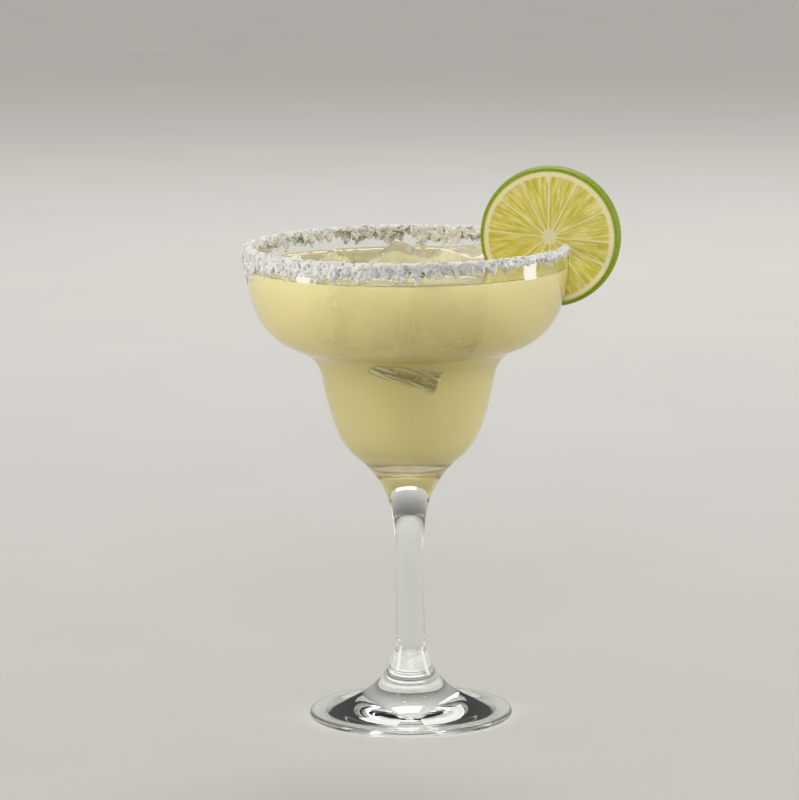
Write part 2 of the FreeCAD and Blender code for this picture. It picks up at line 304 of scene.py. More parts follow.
def build_lathe_tree():
    """A tree that turns a profile about Z: one grid row for each of its points."""
    tree, given = new_tree("lathe", {"Profile": "Geometry", "Steps": "Int", "Finish": "Material"})
    count = add(tree, "GeometryNodeAttributeDomainSize", inputs={"Geometry": given["Profile"]})
    rows = count.outputs["Point Count"]
    columns = add(tree, "ShaderNodeMath", {"operation": "ADD"}, {0: given["Steps"], 1: 1.0})
    grid = add(tree, "GeometryNodeMeshGrid", inputs={"Vertices X": columns.outputs[0], "Vertices Y": rows})
    index = add(tree, "GeometryNodeInputIndex").outputs["Index"]
    row = add(tree, "ShaderNodeMath", {"operation": "MODULO"}, {0: index, 1: rows})
    share = add(tree, "ShaderNodeMath", {"operation": "DIVIDE"}, {0: index, 1: rows})
    column = add(tree, "ShaderNodeMath", {"operation": "FLOOR"}, {0: share.outputs[0]})
    turn = add(tree, "ShaderNodeMath", {"operation": "DIVIDE"}, {0: column.outputs[0], 1: given["Steps"]})
    angle = add(tree, "ShaderNodeMath", {"operation": "MULTIPLY"}, {0: turn.outputs[0], 1: math.tau})
    position = add(tree, "GeometryNodeInputPosition").outputs["Position"]
    profile_point = add(tree, "GeometryNodeSampleIndex", {"data_type": "FLOAT_VECTOR"},
                        {"Geometry": given["Profile"], "Value": position, "Index": row.outputs[0]})
    axis = (0.0, 0.0, 1.0)
    turned = add(tree, "ShaderNodeVectorRotate", {"rotation_type": "AXIS_ANGLE"},
                 {"Vector": profile_point.outputs["Value"], "Axis": axis, "Angle": angle.outputs[0]})
    shaped = add(tree, "GeometryNodeSetPosition",
                 inputs={"Geometry": grid.outputs["Mesh"], "Position": turned.outputs["Vector"]})
    merged = add(tree, "GeometryNodeMergeByDistance",
                 inputs={"Geometry": shaped.outputs["Geometry"], "Distance": MERGE_DISTANCE})
    finish_tree(tree, merged.outputs["Geometry"], given["Finish"])
    return tree


def run_tree(tree, name, mesh, inputs):
    """Run a Geometry Nodes tree on a mesh and keep the result as a plain mesh object."""
    piece = link_object(name, mesh)
    modifier = piece.modifiers.new("nodes", "NODES")
    modifier.node_group = tree
    sockets = {item.name: item.identifier for item in tree.interface.items_tree if item.in_out == "INPUT"}
    for socket_name, value in inputs.items():
        modifier[sockets[socket_name]] = value
    apply_modifiers(piece)
    bpy.data.meshes.remove(mesh)
    return piece


LATHE = build_lathe_tree()


def turn_profile(name, profile, material):
    """Turn a profile of (radius, height) points, in millimetres, about Z."""
    mesh = bpy.data.meshes.new(name + "_profile")
    mesh.from_pydata([(r * MM, 0.0, z * MM) for r, z in profile], [], [])
    piece = run_tree(LATHE, name, mesh, {"Steps": TURN_STEPS, "Finish": material})
    recalculate(piece.data)
    print(f"{name}: {len(profile)} profile points, {triangles(piece.data)} triangles")
    return piece

# %% [markdown]
# ## The glass
# A blower's mould gives a stemmed glass an outline of arcs that run into each other without a kink.
# The outline is drawn the same way here: each arc starts where the last one stopped, with the same
# heading, and goes on down to a given height.  Only its radius, that height and the side it curves to
# are chosen.  Fine steps matter more than usual, because clear glass bends the light at every facet.

# %% Arc chain
DOWN = -math.pi / 2
STEP_ANGLE = math.radians(3.0)
STEP_LENGTH = 1.6


class Outline:
    """A chain of tangent arcs through (radius, height), in millimetres."""

    def __init__(self, radius, height):
        self.heading = DOWN
        self.points = [(radius, height)]

    def line_to_height(self, height):
        radius, top = self.points[-1]
        steps = max(1, round(abs(top - height) / STEP_LENGTH))
        self.points += [(radius, top + (height - top) * i / steps) for i in range(1, steps + 1)]

    def arc_to_heading(self, radius, heading, hollow=False):
        side = -1 if hollow else 1
        r, z = self.points[-1]
        centre_r = r + side * radius * math.sin(self.heading)
        centre_z = z - side * radius * math.cos(self.heading)
        turn = heading - self.heading
        steps = math.ceil(max(abs(turn) / STEP_ANGLE, abs(turn) * radius / STEP_LENGTH))
        for i in range(1, steps + 1):
            now = self.heading + turn * i / steps
            out, up = -math.sin(now), math.cos(now)
            self.points.append((centre_r + side * radius * out, centre_z + side * radius * up))
        self.heading = heading

    def arc_to_height(self, radius, height, hollow=False):
        drop = (self.points[-1][1] - height) / radius
        cosine = math.cos(self.heading) + (drop if hollow else -drop)
        self.arc_to_heading(radius, -math.acos(cosine), hollow)


# %% Outline of the glass
RIM_WALL = 1.6
LIP_RADIUS = RIM_WALL / 2
LIP_HEIGHT = RIM_HEIGHT - LIP_RADIUS
WALL_BOTTOM = 165.2
STEM_RADIUS = 4.9
FOOT_RADIUS = 37.1
FOOT_EDGE = 1.25
FOOT_RING = 31.0
FOOT_HOLLOW = 1.8
DOME_STEPS = 10


def outside_outline():
    """From the rim down the bowl, the neck and the stem to the axis under the foot."""
    line = Outline(RIM_RADIUS, LIP_HEIGHT)
    line.line_to_height(WALL_BOTTOM)
    line.arc_to_height(41.5, 150.4)
    line.arc_to_height(24.0, 136.2)
    line.arc_to_height(13.7, 125.5, hollow=True)
    line.arc_to_height(105.0, 106.3)
    line.arc_to_height(25.0, 95.5)
    line.arc_to_height(33.4, 74.0, hollow=True)
    narrowing = line.points[-1][0] - STEM_RADIUS
    line.arc_to_heading(narrowing / (1 - math.cos(DOWN - line.heading)), DOWN, hollow=True)
    line.arc_to_height(944.0, 28.8, hollow=True)
    line.arc_to_height(23.8, 13.3, hollow=True)
    add_instep(line)
    line.arc_to_heading(FOOT_EDGE, -math.pi)
    line.points.append((FOOT_RING, 0.0))
    dome_radius = (FOOT_RING ** 2 + FOOT_HOLLOW ** 2) / (2 * FOOT_HOLLOW)
    for i in range(1, DOME_STEPS + 1):
        r = FOOT_RING * (1 - i / DOME_STEPS)
        line.points.append((r, math.sqrt(dome_radius ** 2 - r ** 2) - dome_radius + FOOT_HOLLOW))
    return line.points


def add_instep(line):
    """The one arc that runs from the ankle into the foot's rounded edge without a kink."""
    edge_centre = FOOT_RADIUS - FOOT_EDGE
    side_r, side_z = -math.sin(line.heading), math.cos(line.heading)
    across, above = line.points[-1][0] - edge_centre, line.points[-1][1] - FOOT_EDGE
    gap = across ** 2 + above ** 2 - FOOT_EDGE ** 2
    radius = gap / (2 * (FOOT_EDGE - across * side_r - above * side_z))
    centre_r = line.points[-1][0] + radius * side_r
    centre_z = line.points[-1][1] + radius * side_z
    line.arc_to_heading(radius, math.atan2(edge_centre - centre_r, centre_z - FOOT_EDGE), hollow=True)


def inside_outline():
    """From the rim down the inside of the bowl to the axis."""
    line = Outline(RIM_RADIUS - RIM_WALL, LIP_HEIGHT)
    line.line_to_height(WALL_BOTTOM)
    line.arc_to_height(39.9, 151.0)
    line.arc_to_height(22.2, 137.9)
    line.arc_to_height(15.8, 125.8, hollow=True)
    line.arc_to_height(103.0, 107.1)
    line.arc_to_height(17.0, 96.5)
    line.arc_to_heading(line.points[-1][0] / math.sin(math.pi + line.heading), -math.pi)
    return line.points


def lip_outline(steps=12):
    """Over the rounded lip, from the outside wall to the inside wall."""
    centre = RIM_RADIUS - LIP_RADIUS
    angles = [math.pi * i / steps for i in range(1, steps)]
    return [(centre + LIP_RADIUS * math.cos(a), LIP_HEIGHT + LIP_RADIUS * math.sin(a)) for a in angles]


def moved_out(points, distance):
    """Move an outline that runs down along its own normal, away from the axis."""
    moved = []
    for i, (r, z) in enumerate(points):
        before, after = points[max(i - 1, 0)], points[min(i + 1, len(points) - 1)]
        along = Vector((after[0] - before[0], after[1] - before[1])).normalized()
        moved.append((max(r - along.y * distance, 0.0), z + along.x * distance))
    moved[-1] = (0.0, points[-1][1] - distance)
    return moved


OUTSIDE = outside_outline()
INSIDE = inside_outline()
GLASS_PROFILE = OUTSIDE[::-1] + lip_outline() + INSIDE
print(f"bowl floor at {INSIDE[-1][1]:.1f} mm; the outline has {len(GLASS_PROFILE)} points")

# %% [markdown]
# ## Soda-lime glass, blown and fire polished
# What it gives the eye: almost no colour, an IOR of 1.52, mirror-smooth walls, and faint waves where
# the gather was turned in the mould.  Only those waves are drawn.  Shadow rays go through a
# Transparent shader, because real glass throws a light shadow and Cycles would give it a black one.

# %% Glass material
def let_lamps_through(tree, shader, tint):
    """Let shadow rays pass a clear shader, dimmed a little, so that lamps reach what is inside."""
    path = add(tree, "ShaderNodeLightPath")
    clear = add(tree, "ShaderNodeBsdfTransparent", inputs={"Color": linear(tint)})
    either = add(tree, "ShaderNodeMixShader",
                 inputs={0: path.outputs["Is Shadow Ray"], 1: shader, 2: clear.outputs["BSDF"]})
    return either.outputs["Shader"]


def make_glass_material():
    """Clear glass with faint waves."""
    material, tree = new_material("soda_lime_glass_fire_polished")
    place = add(tree, "ShaderNodeTexCoord").outputs["Object"]
    # waves about 14 mm apart round the glass and longer up it
    stretched = add(tree, "ShaderNodeMapping", inputs={"Vector": place, "Scale": (70.0, 70.0, 25.0)})
    waves = add(tree, "ShaderNodeTexNoise",
                inputs={"Vector": stretched.outputs["Vector"], "Scale": 1.0, "Detail": 1.0})
    relief = add(tree, "ShaderNodeBump",
                 inputs={"Height": waves.outputs["Fac"], "Strength": 0.02, "Distance": 1.0 * MM})
    glass = add(tree, "ShaderNodeBsdfPrincipled",
                inputs={"Base Color": linear("#fbfdfb"), "Roughness": 0.0, "IOR": 1.52,
                        "Transmission Weight": 1.0, "Normal": relief.outputs["Normal"]})
    finish_material(tree, let_lamps_through(tree, glass.outputs["BSDF"], "#f2f5f3"))
    return material


glass = turn_profile("blown_glass", GLASS_PROFILE, make_glass_material())
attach(glass, "root")
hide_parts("glass")

# %% [markdown]
# ## The space that the drink fills
# The drink takes the inside of the bowl up to its level, so it is turned on the same lathe, from the
# glass's own inside line.  It reaches a quarter of a millimetre into the wall, because a film of air
# between them would look like silver.  At the top, the liquid climbs the wall.  The ice and the lime
# are cut out of it later, so here it is only the space.

# %% Space for the drink
INTO_WALL = 0.25
CLIMB = 1.1
CLIMB_REACH = 1.5
FROM_WALL = (40, 30, 20, 14, 10, 7, 5, 3.6, 2.6, 1.8, 1.2, 0.7, 0.3)


def drink_profile():
    """Across the surface, up where it climbs the wall, and down the wall to the axis."""
    wall = moved_out([p for p in INSIDE if p[1] < DRINK_LEVEL + CLIMB], INTO_WALL)
    edge = wall[0][0]
    surface = [edge - distance for distance in FROM_WALL]
    top = [(0.0, DRINK_LEVEL)]
    top += [(r, DRINK_LEVEL + CLIMB * math.exp(-(edge - r) / CLIMB_REACH)) for r in surface]
    return top + [(edge, DRINK_LEVEL + CLIMB)] + wall


liquid = turn_profile("cloudy_drink", drink_profile(), None)

# %% Boolean helper
SHARP_EDGE = math.radians(35)


def carve(piece, tools, shrink, operation="DIFFERENCE"):
    """Cut copies of closed meshes out of a piece, each first made smaller by shrink millimetres."""
    cutters = []
    for tool in tools:
        cutter = link_object("cutter", tool.copy())
        normals = np.array([v.normal for v in cutter.data.vertices])
        write_points(cutter.data, read_points(cutter.data) - normals * shrink)
        cut = piece.modifiers.new("cut", "BOOLEAN")
        cut.operation = operation
        cut.solver = "MANIFOLD"
        cut.object = cutter
        cutters.append(cutter)
    apply_modifiers(piece)
    for cutter in cutters:
        bpy.data.meshes.remove(cutter.data)
    piece.data.set_sharp_from_angle(angle=SHARP_EDGE)


# %% [markdown]
# ## Ice
# The cubes come from a tray: tapered blocks about 25 mm wide, already melting, so their edges are
# round and their faces have shallow dents.  Each packed cube is remeshed into small even faces, and
# then every point moves in a little, by a smooth noise.  One more piece, worn thin, is sunk in the
# drink and leans its long edge on the front of the narrow part of the bowl, where it shows through.

# %% Melted cubes
ICE_VOXEL = 0.8
MELT_DEPTH = 0.7
MELT_SIZE = 9.0
RIPPLE_DEPTH = 0.06
RIPPLE_SIZE = 2.6


def melted(name, mesh, seed, material):
    """Remesh a block finely and melt dents and ripples into it."""
    merge_doubles(mesh)
    piece = link_object(name, mesh)
    even = piece.modifiers.new("even_faces", "REMESH")
    even.mode = "VOXEL"
    even.voxel_size = ICE_VOXEL * MM
    rounded = piece.modifiers.new("rounded", "SMOOTH")
    rounded.factor = 0.5
    rounded.iterations = 3
    apply_modifiers(piece)
    recalculate(piece.data)
    points = read_points(piece.data)
    normals = np.array([v.normal for v in piece.data.vertices])
    offset = Vector((seed * 31.7, seed * 17.3, seed * 5.9))
    dents = np.array([noise.noise(Vector(p) / MELT_SIZE + offset) for p in points])
    ripples = np.array([noise.noise(Vector(p) / RIPPLE_SIZE + offset) for p in points])
    depth = MELT_DEPTH * (0.5 + dents) + RIPPLE_DEPTH * ripples
    write_points(piece.data, points - normals * depth[:, None])
    piece.data.materials.clear()
    piece.data.materials.append(material)
    print(f"{name}: {triangles(piece.data)} triangles")
    return piece


# %% Ice material
def make_ice_material():
    """Tray ice, wet: IOR 1.31, with a haze of trapped air that is thick in some places."""
    material, tree = new_material("clear_tray_ice_wet")
    place = add(tree, "ShaderNodeTexCoord").outputs["Object"]
    # haze in patches about 14 mm across
    haze = add(tree, "ShaderNodeTexNoise", inputs={"Vector": place, "Scale": 70.0, "Detail": 3.0})
    rough = add(tree, "ShaderNodeMapRange",
                inputs={"Value": haze.outputs["Fac"], "From Min": 0.45, "From Max": 0.75,
                        "To Min": 0.0, "To Max": 0.12})
    clear = add(tree, "ShaderNodeMapRange",
                inputs={"Value": haze.outputs["Fac"], "From Min": 0.40, "From Max": 0.70,
                        "To Min": 0.94, "To Max": 0.74})
    # ripples 2.4 mm apart, left by the melting
    ripple = add(tree, "ShaderNodeTexNoise", inputs={"Vector": place, "Scale": 420.0, "Detail": 2.0})
    relief = add(tree, "ShaderNodeBump",
                 inputs={"Height": ripple.outputs["Fac"], "Strength": 0.06, "Distance": 1.0 * MM})
    ice = add(tree, "ShaderNodeBsdfPrincipled",
              inputs={"Base Color": linear("#fdfdf9"), "Roughness": rough.outputs["Result"], "IOR": 1.31,
                      "Transmission Weight": clear.outputs["Result"], "Normal": relief.outputs["Normal"],
                      "Subsurface Weight": 0.6, "Subsurface Radius": (1.0, 1.0, 1.0),
                      "Subsurface Scale": 3.0 * MM})
    # air and fine cracks all through the cube, thin enough to see through: a mean path of 70 mm
    cracks = add(tree, "ShaderNodeVolumePrincipled",
                 inputs={"Color": linear("#fdfefe"), "Density": 14.0, "Anisotropy": 0.0})
    surface = let_lamps_through(tree, ice.outputs["BSDF"], "#eef1ec")
    finish_material(tree, surface, cracks.outputs["Volume"])
    return material


ICE = make_ice_material()
ICE_PIECES = []
for number, node in enumerate(sorted(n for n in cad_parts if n.startswith("ice_cube"))):
    cube = melted("melted_" + node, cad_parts[node].data.copy(), number + 1, ICE)
    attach(cube, "root")
    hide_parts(node)
    ICE_PIECES.append(cube)

# %% Sunk block
# the edge that lies on the wall has two ends, and the block goes inwards from it
SUNK_BEVEL = 1.2
SUNK_SIZE = (25.0, 9.0, 8.0)
SUNK_EDGE = (Vector((-13.6, -33.3, 134.6)), Vector((11.1, -30.3, 124.7)))
SUNK_INWARDS = Vector((0.0, 0.99, -0.15))
SUNK_SLOPE = math.radians(20)
SUNK_BOW = 1.0
SUNK_SEED = 11


def make_painted_highlight_ice_material():
    """Ice with painted highlights: white streaks along its length stand in for bright lines of light, and
    it is clear between.
    """
    material, tree = new_material("tray_ice_painted_highlight_streaks")
    grain = add(tree, "ShaderNodeAttribute", {"attribute_name": "grain"}).outputs["Vector"]
    # grain is in mm: the painted highlight streaks are about 2 mm wide and 12 mm long
    drawn = add(tree, "ShaderNodeMapping", inputs={"Vector": grain, "Scale": (0.08, 0.5, 0.5)})
    streaks = add(tree, "ShaderNodeTexNoise",
                  inputs={"Vector": drawn.outputs["Vector"], "Scale": 1.0, "Detail": 3.0})
    # where the streaks are, the ice turns opaque white: a painted highlight
    clear = add(tree, "ShaderNodeMapRange",
                inputs={"Value": streaks.outputs["Fac"], "From Min": 0.42, "From Max": 0.56,
                        "To Min": 0.9, "To Max": 0.0})
    relief = add(tree, "ShaderNodeBump",
                 inputs={"Height": streaks.outputs["Fac"], "Strength": 0.5, "Distance": 0.4 * MM})
    ice = add(tree, "ShaderNodeBsdfPrincipled",
              inputs={"Base Color": linear("#fdfcf4"), "Roughness": 0.05, "IOR": 1.31,
                      "Transmission Weight": clear.outputs["Result"], "Normal": relief.outputs["Normal"],
                      "Subsurface Weight": 1.0, "Subsurface Radius": (1.0, 1.0, 1.0),
                      "Subsurface Scale": 1.0 * MM})
    finish_material(tree, let_lamps_through(tree, ice.outputs["BSDF"], "#eef1ec"))
    return material


def make_sunk_block(name):
    """A melted block with one long edge on the wall; that side is bowed and trimmed by the bowl."""
    start, end = SUNK_EDGE
    middle = (start + end) / 2
    along = (end - start).normalized()
    across = (SUNK_INWARDS - along * SUNK_INWARDS.dot(along)).normalized()
    side = along.cross(across)
    upper = across * math.sin(SUNK_SLOPE) + side * math.cos(SUNK_SLOPE)
    lower = across * math.cos(SUNK_SLOPE) - side * math.sin(SUNK_SLOPE)
    length, height, depth = SUNK_SIZE
    turn = Matrix((along, upper, lower)).transposed().to_4x4()
    centre = middle + upper * (height / 2) + lower * (depth / 2)
    block = bmesh.new()
    bmesh.ops.create_cube(block, size=MM)
    bmesh.ops.scale(block, verts=block.verts, vec=SUNK_SIZE)
    bmesh.ops.bevel(block, geom=block.edges[:], offset=SUNK_BEVEL * MM, segments=3, profile=0.5,
                    affect="EDGES")
    bmesh.ops.transform(block, verts=block.verts, matrix=Matrix.Translation(centre * MM) @ turn)
    bmesh.ops.recalc_face_normals(block, faces=block.faces)
    mesh = bpy.data.meshes.new(name)
    block.to_mesh(mesh)
    block.free()
    piece = melted(name, mesh, SUNK_SEED, make_painted_highlight_ice_material())
    points = read_points(piece.data)
    share = np.clip((points - np.array(middle)) @ np.array(along) / (length / 2), -1, 1)
    write_points(piece.data, points - np.array(across) * (SUNK_BOW * (1 - share ** 2))[:, None])
    carve(piece, [liquid.data], 0.0, "INTERSECT")
    points = read_points(piece.data) - np.array(middle)
    grain = points @ np.array((along, upper, lower)).T
    store(piece.data, "grain", grain, "FLOAT_VECTOR")
    return piece


sunk = make_sunk_block("sunk_ice_front")
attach(sunk, "root")
ICE_PIECES.append(sunk)

# %% [markdown]
# ## The slice of lime
# A wheel cut across a lime shows, from the outside in: a thin green zest full of oil cells, a pale
# ring of pith, and about a dozen wedges of flesh with thin skins between them, meeting at a soft core.
# In the flesh, the juice sacs run out from the core, so the cut face has fine ribs along the radius.
# The face is a polar grid, because all of it follows the radius and the angle.  One function says how
# far a point lies inside a wedge, and both the relief and the colours are worked out from that.

# %% Parts of a lime
LIME_CENTRE = Vector((51.6, 2.0, 175.7))
LIME_TURN = math.radians(-11)
LIME_FRONT = 24.6
LIME_BACK = 25.4
LIME_HALF = 3.0
LIME_BULGE = 0.5
ZEST = 0.95
PITH = 1.6
CORE = 2.3
SKIN = 0.12
ROUNDING = 2.6
SKIN_ANGLES = (-143, -115, -83, -52, -27, -4, 25.5, 62, 90, 118, 142, 174.5)
LIME_UPRIGHT = Matrix.Rotation(math.pi / 2, 4, "X")
LIME_AXES = Matrix.Translation(LIME_CENTRE) @ Matrix.Rotation(LIME_TURN, 4, "Z") @ LIME_UPRIGHT


def smooth_step(low, high, value):
    """Go from 0 to 1 between two values, without a corner at either."""
    share = np.clip((value - low) / (high - low), 0, 1)
    return share * share * (3 - 2 * share)


def lime_radius(across):
    """Radius of the wheel at a distance in front of its middle plane."""
    share = (across + LIME_HALF) / (2 * LIME_HALF)
    return LIME_BACK + (LIME_FRONT - LIME_BACK) * share + LIME_BULGE * np.sin(math.pi * share)


def depth_in_wedge(radius, angle, wheel):
    """How far, in millimetres, a point lies inside a wedge of flesh; negative in skin, pith and core."""
    skins = np.radians(SKIN_ANGLES)
    turns = np.abs((angle[:, None] - skins + math.pi) % math.tau - math.pi).min(axis=1)
    to_skin = radius * np.sin(np.minimum(turns, math.pi / 2)) - SKIN
    to_pith = wheel - ZEST - PITH - radius
    to_core = radius - CORE
    return -np.log(sum(np.exp(-ROUNDING * gap) for gap in (to_skin, to_pith, to_core))) / ROUNDING


# %% Lime mesh
LIME_COLUMNS = 640
LIME_ROW = 0.36
EDGE_ROUND = 0.35
FLESH_DROP = 0.16
SAC_RELIEF = 0.10
SAC_ANGLE = 11.0
SAC_LENGTH = 6.0


def lime_section():
    """Half a section of the wheel: radius and distance in front of the middle plane."""
    front = [(r, LIME_HALF) for r in np.arange(0.0, LIME_FRONT - EDGE_ROUND, LIME_ROW)]
    back = [(r, -LIME_HALF) for r in np.arange(0.0, LIME_BACK - EDGE_ROUND, LIME_ROW)][::-1]
    side = []
    for across in np.linspace(LIME_HALF, -LIME_HALF, 17):
        inset = max(0.0, abs(across) - (LIME_HALF - EDGE_ROUND))
        drop = EDGE_ROUND - math.sqrt(max(EDGE_ROUND ** 2 - inset ** 2, 0.0))
        side.append((float(lime_radius(across)) - drop, across))
    return front + side + back


def sac_height(radius, angle, side):
    """Ribs of juice sacs: noise drawn out along the radius, with no seam round the circle."""
    across_sacs = (np.cos(angle) * SAC_ANGLE, np.sin(angle) * SAC_ANGLE)
    spots = np.stack([*across_sacs, radius / SAC_LENGTH + side], axis=1)
    return np.array([noise.noise(Vector(spot)) for spot in spots])


def make_lime_mesh():
    """The wheel as a polar grid, with its sacs raised and its flesh sunk a little below the skins."""
    section = np.array(lime_section())
    angles = math.radians(SKIN_ANGLES[0]) + np.arange(LIME_COLUMNS) * math.tau / LIME_COLUMNS
    radius = np.repeat(section[:, 0], LIME_COLUMNS)
    across = np.repeat(section[:, 1], LIME_COLUMNS)
    angle = np.tile(angles, len(section))
    side = np.sign(across)
    depth = depth_in_wedge(radius, angle, lime_radius(across))
    flesh = smooth_step(0.0, 0.4, depth) * (np.abs(across) > LIME_HALF - 0.01)
    ribs = sac_height(radius, angle, side * 9.0) + 0.5 * sac_height(radius, angle * 3.0, side * 4.0)
    across = across + side * flesh * (SAC_RELIEF * ribs - FLESH_DROP)
    points = np.stack([radius * np.cos(angle), radius * np.sin(angle), across], axis=1)
    faces = []
    for row in range(len(section) - 1):
        low, high = row * LIME_COLUMNS, (row + 1) * LIME_COLUMNS
        for i in range(LIME_COLUMNS):
            j = (i + 1) % LIME_COLUMNS
            faces.append((low + i, high + i, high + j, low + j))
    mesh = bpy.data.meshes.new("lime_wheel")
    mesh.from_pydata([LIME_AXES @ Vector(p) * MM for p in points], [], faces)
    recalculate(mesh)
    return mesh


# %% Slit for the glass
SLIT_GAP = 0.15
SLIT_BOTTOM = 140.0


def slit_profile():
    """The wall of the bowl, a little thicker than it is, as a closed profile."""
    outer = moved_out([p for p in OUTSIDE if p[1] > SLIT_BOTTOM], SLIT_GAP)[:-1]
    inner = moved_out([p for p in INSIDE if p[1] > SLIT_BOTTOM], -SLIT_GAP)[:-1]
    middle = RIM_RADIUS - LIP_RADIUS
    lip = [(middle + (r - middle) * (1 + SLIT_GAP / LIP_RADIUS),
            LIP_HEIGHT + (z - LIP_HEIGHT) * (1 + SLIT_GAP / LIP_RADIUS)) for r, z in lip_outline()]
    loop = outer[::-1] + lip + inner
    return loop + loop[:1]


# %% Lime material
def make_lime_material():
    """Cut lime, wet: flesh that lets light in, matt pith, and waxy zest with oil cells."""
    material, tree = new_material("lime_cut_fresh")
    flesh, zest, outer = (add(tree, "ShaderNodeAttribute", {"attribute_name": name}).outputs["Fac"]
                          for name in ("flesh", "zest", "outer_zest"))
    polar = add(tree, "ShaderNodeAttribute", {"attribute_name": "polar"}).outputs["Vector"]
    place = add(tree, "ShaderNodeTexCoord").outputs["Object"]
    # sacs about 1.3 mm wide near the rim and 8 mm long, with finer streaks on them
    sacs = add(tree, "ShaderNodeTexNoise",
               inputs={"Vector": polar, "Scale": 1.0, "Detail": 4.0, "Roughness": 0.6})
    streak = add(tree, "ShaderNodeValToRGB", inputs={"Fac": sacs.outputs["Fac"]})
    ramp = streak.color_ramp
    ramp.elements[0].position, ramp.elements[0].color = 0.30, linear("#c4bd52")
    ramp.elements[1].position, ramp.elements[1].color = 0.72, linear("#f6efb8")
    middle = ramp.elements.new(0.5)
    middle.color = linear("#ded47a")
    # pith fibres about 1 mm
    fibres = add(tree, "ShaderNodeTexNoise", inputs={"Vector": place, "Scale": 900.0, "Detail": 3.0})
    pale = add(tree, "ShaderNodeMix", OF_COLOURS,
               {"Factor": fibres.outputs["Fac"], "A": linear("#e6dcae"), "B": linear("#f4eed2")})
    inner = add(tree, "ShaderNodeMix", OF_COLOURS,
                {"Factor": flesh, "A": pale.outputs["Result"], "B": streak.outputs["Color"]})
    # oil cells 0.7 mm apart in the zest
    cells = add(tree, "ShaderNodeTexVoronoi", inputs={"Vector": place, "Scale": 1500.0})
    green = add(tree, "ShaderNodeMix", OF_COLOURS,
                {"Factor": cells.outputs["Distance"], "A": linear("#6f8220"), "B": linear("#93a636")})
    light_green = add(tree, "ShaderNodeMix", OF_COLOURS,
                      {"Factor": outer, "A": linear("#c3c470"), "B": green.outputs["Result"]})
    colour = add(tree, "ShaderNodeMix", OF_COLOURS,
                 {"Factor": zest, "A": inner.outputs["Result"], "B": light_green.outputs["Result"]})
    height = add(tree, "ShaderNodeMix",
                 inputs={"Factor": zest, "A": sacs.outputs["Fac"], "B": cells.outputs["Distance"]})
    relief = add(tree, "ShaderNodeBump",
                 inputs={"Height": height.outputs["Result"], "Strength": 0.35, "Distance": 0.6 * MM})
    wet = add(tree, "ShaderNodeMapRange", inputs={"Value": flesh, "To Min": 0.42, "To Max": 0.20})
    lime = add(tree, "ShaderNodeBsdfPrincipled",
               inputs={"Base Color": colour.outputs["Result"], "Roughness": wet.outputs["Result"],
                       "IOR": 1.37, "Normal": relief.outputs["Normal"], "Subsurface Weight": 0.5,
                       "Subsurface Radius": (1.0, 0.9, 0.3), "Subsurface Scale": 3.0 * MM})
    finish_material(tree, lime.outputs["BSDF"])
    return material


STREAKS_PER_RADIAN = 17.0
STREAK_LENGTH = 8.0


def colour_zones(mesh):
    """Store what each point of the lime is: flesh, zest, or the pith between them."""
    local = np.array([LIME_AXES.inverted() @ Vector(p) for p in read_points(mesh)])
    radius, angle = np.hypot(local[:, 0], local[:, 1]), np.arctan2(local[:, 1], local[:, 0])
    wheel = lime_radius(np.clip(local[:, 2], -LIME_HALF, LIME_HALF))
    store(mesh, "flesh", smooth_step(-0.1, 0.25, depth_in_wedge(radius, angle, wheel)))
    store(mesh, "zest", smooth_step(wheel - ZEST - 0.2, wheel - ZEST + 0.2, radius))
    store(mesh, "outer_zest", smooth_step(wheel - ZEST, wheel - 0.25, radius))
    turns = (angle - math.radians(SKIN_ANGLES[0])) % math.tau
    polar = np.stack([turns * STREAKS_PER_RADIAN, radius / STREAK_LENGTH, np.sign(local[:, 2])], axis=1)
    store(mesh, "polar", polar, "FLOAT_VECTOR")


LIME_MATERIAL = make_lime_material()
lime = link_object("lime_wheel_cut", make_lime_mesh())
lime.data.materials.append(LIME_MATERIAL)
slit = turn_profile("slit", slit_profile(), LIME_MATERIAL)
carve(lime, [slit.data], 0.0)
bpy.data.meshes.remove(slit.data)
colour_zones(lime.data)
print(f"lime: {triangles(lime.data)} triangles")
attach(lime, "root")
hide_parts("lime_wheel")

# %% [markdown]
# ## The drink
# Lime juice makes the drink cloudy: light goes in, bounces about among the pulp and comes out again.
# A volume does that truly, so ice near the wall shows and ice in the middle doesn't.  The mean path in
# it is 8 mm.  A Boolean cuts out the lime and each piece of ice, made a little smaller first, so that
# they reach into the drink and no air is left round them.

# %% Drink material
OVERLAP = 0.15


def make_drink_material():
    """Lime juice, agave and spirit, shaken: cloudy, pale straw with a green cast."""
    material, tree = new_material("cloudy_lime_drink_shaken")
    place = add(tree, "ShaderNodeTexCoord").outputs["Object"]
    # clouds of pulp and melt water about 25 mm across
    clouds = add(tree, "ShaderNodeTexNoise", inputs={"Vector": place, "Scale": 40.0, "Detail": 2.0})
    tone = add(tree, "ShaderNodeMix", OF_COLOURS,
               {"Factor": clouds.outputs["Fac"], "A": linear("#eee4ba"), "B": linear("#f5ecca")})
    drink = add(tree, "ShaderNodeBsdfPrincipled",
                inputs={"Base Color": tone.outputs["Result"], "Roughness": 0.02, "IOR": 1.34,
                        "Transmission Weight": 0.92, "Subsurface Weight": 1.0,
                        "Subsurface Radius": (1.0, 0.8, 0.4), "Subsurface Scale": 9.0 * MM})
    pulp = add(tree, "ShaderNodeVolumePrincipled",
               inputs={"Color": linear("#fefbf0"), "Density": 120.0, "Anisotropy": 0.3})
    surface = let_lamps_through(tree, drink.outputs["BSDF"], "#fbf8e6")
    finish_material(tree, surface, pulp.outputs["Volume"])
    return material


drink = liquid
drink.data.materials.clear()
drink.data.materials.append(make_drink_material())
carve(drink, [piece.data for piece in ICE_PIECES + [lime]], OVERLAP)
print(f"drink cut round the ice and the lime: {triangles(drink.data)} triangles")
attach(drink, "root")
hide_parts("drink")

